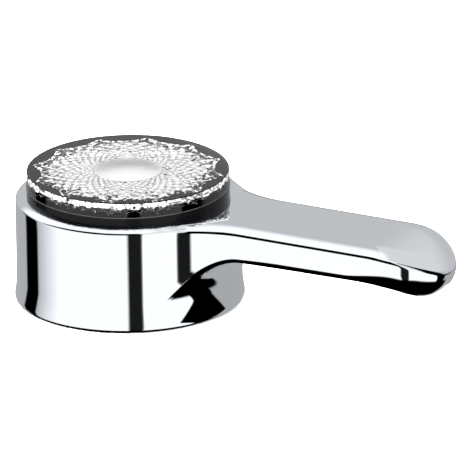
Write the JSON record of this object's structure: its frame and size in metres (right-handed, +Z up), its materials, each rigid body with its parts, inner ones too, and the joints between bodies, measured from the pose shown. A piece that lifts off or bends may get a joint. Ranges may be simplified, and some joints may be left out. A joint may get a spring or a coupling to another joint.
{
  "type": "mixer tap lever handle",
  "caption": "Chromed single-lever mixer tap handle: a round cup over the cartridge runs out into a flat lever, with a clear cut-crystal cap on a black carrier.",
  "frame": {"origin": "on the cup's axis in the plane of its mouth", "axes": "+Z up through the cap, +X out along the lever"},
  "size_m": [0.1115, 0.054, 0.0314],
  "materials": {
    "chrome_plate": "bright chrome plating on a polished die-casting",
    "black_plastic": "black moulded plastic, glossy rim",
    "clear_acrylic": "clear polished acrylic with a silvered, faceted underside",
    "screw_steel": "plain stainless steel"
  },
  "bodies": {
    "root": {"lever_body": "chrome_plate", "cap_base": "black_plastic", "crystal_disc": "clear_acrylic", "retaining_screw": "screw_steel"}
  },
  "joints": []
}
